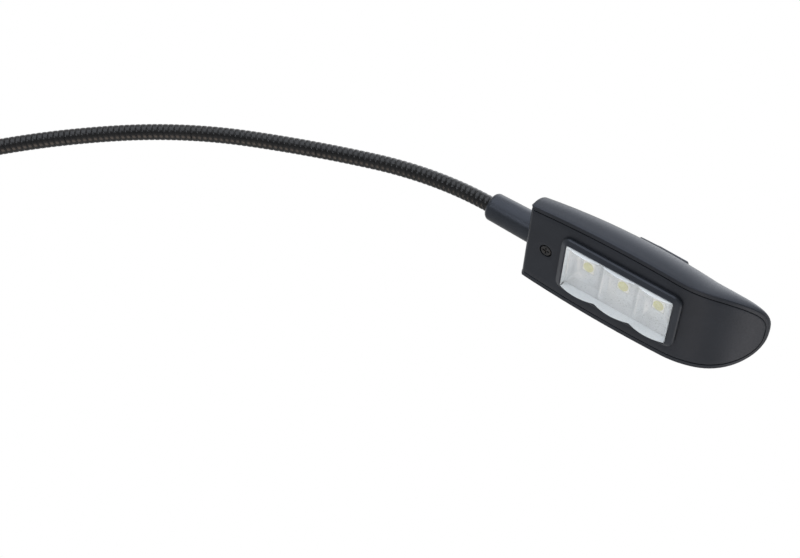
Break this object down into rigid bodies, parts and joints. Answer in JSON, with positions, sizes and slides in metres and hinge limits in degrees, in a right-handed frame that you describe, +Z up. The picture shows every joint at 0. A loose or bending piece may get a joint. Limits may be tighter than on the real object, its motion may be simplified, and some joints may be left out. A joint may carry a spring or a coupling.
{
  "type": "music stand light",
  "caption": "Clip-on music stand light with a sprung battery clip, a ribbed gooseneck and a slim head with LEDs behind a lobed lens.",
  "frame": {"origin": "middle of the fixed jaw pad's gripping face", "axes": "+Z up along the clip, +X out of the fixed jaw pad towards the lever and the lamp head, -Y towards the viewer"},
  "size_m": [0.3784, 0.0872, 0.187],
  "materials": {
    "black_abs": "moulded, fine spark-eroded grain",
    "black_coated_steel": "semi-gloss black coating",
    "grip_rubber": "matt",
    "bright_steel": "bright drawn wire and turned steel",
    "black_oxide_screw": "black oxide",
    "cell_can": "plain metal can",
    "clear_lens": "clear, polished",
    "metallised_plastic": "satin metallised",
    "circuit_board": "white solder mask",
    "led_package": "white moulded package",
    "led_phosphor": "yellow phosphor",
    "board_components": "moulded",
    "lead_sheath": "matt PVC"
  },
  "bodies": {
    "clip": {"clip_housing": "black_abs", "battery_cells": "cell_can", "contact_leaves": "bright_steel", "contact_plates": "bright_steel", "hinge_pin": "bright_steel", "torsion_spring": "bright_steel", "fixed_jaw_pad": "grip_rubber", "root_ferrule": "black_coated_steel", "root_nut": "bright_steel", "gooseneck_1": "black_coated_steel", "lead_1": "lead_sheath"},
    "lever": {"clip_lever": "black_abs", "lever_jaw_pad": "grip_rubber"},
    "battery_door": {"battery_door": "black_abs"},
    "neck_2": {"gooseneck_2": "black_coated_steel", "lead_2": "lead_sheath"},
    "neck_3": {"gooseneck_3": "black_coated_steel", "lead_3": "lead_sheath"},
    "neck_4": {"gooseneck_4": "black_coated_steel", "lead_4": "lead_sheath"},
    "neck_5": {"gooseneck_5": "black_coated_steel", "lead_5": "lead_sheath"},
    "neck_6": {"gooseneck_6": "black_coated_steel", "lead_6": "lead_sheath"},
    "head": {"gooseneck_7": "black_coated_steel", "lead_7": "lead_sheath", "head_collar": "black_coated_steel", "collar_nut": "bright_steel", "head_cover": "black_abs", "base_plate": "black_abs", "bezel": "black_abs", "lens": "clear_lens", "reflector": "metallised_plastic", "led_board": "circuit_board", "leds": "led_package", "led_phosphors": "led_phosphor", "driver_parts": "board_components", "tact_switch": "board_components", "plate_screw": "black_oxide_screw", "head_lead": "lead_sheath"},
    "switch_button": {"switch_button": "black_abs", "switch_plunger": "board_components"}
  },
  "joints": [
    {"name": "bend_1", "type": "hinge", "parent": "clip", "child": "neck_2", "pos_m": [0.00297, 0, 0.10856], "axis": [0, 1, 0], "range_deg": [-30, 20]},
    {"name": "bend_2", "type": "hinge", "parent": "neck_2", "child": "neck_3", "pos_m": [0.03341, 0, 0.14549], "axis": [0, 1, 0], "range_deg": [-30, 20]},
    {"name": "swing_3", "type": "hinge", "parent": "neck_3", "child": "neck_4", "pos_m": [0.0773, 0, 0.16457], "axis": [-0.1736, 0, 0.9848], "range_deg": [-30, 30]},
    {"name": "bend_4", "type": "hinge", "parent": "neck_4", "child": "neck_5", "pos_m": [0.12526, 0, 0.17003], "axis": [0, 1, 0], "range_deg": [-30, 20]},
    {"name": "swing_5", "type": "hinge", "parent": "neck_5", "child": "neck_6", "pos_m": [0.17343, 0, 0.16784], "axis": [0.1426, 0, 0.9898], "range_deg": [-30, 30]},
    {"name": "nod_6", "type": "hinge", "parent": "neck_6", "child": "head", "pos_m": [0.22083, -0.00248, 0.15909], "axis": [0.1045, 0.9945, 0], "range_deg": [-30, 30]},
    {"name": "lever_pivot", "type": "hinge", "parent": "clip", "child": "lever", "pos_m": [0.0073, 0, 0.022], "axis": [0, -1, 0], "range_deg": [-7.5, 26], "stiffness_Nm_per_rad": 0.6, "deforming": ["torsion_spring"]},
    {"name": "door_slide", "type": "slide", "parent": "clip", "child": "battery_door", "axis": [0, 0, 1], "range_m": [0, 0.04]},
    {"name": "button_press", "type": "slide", "parent": "head", "child": "switch_button", "axis": [-0.5999, -0.596, -0.5338], "range_m": [0, 0.0007], "stiffness_N_per_m": 2500, "springref_m": -0.0004}
  ]
}
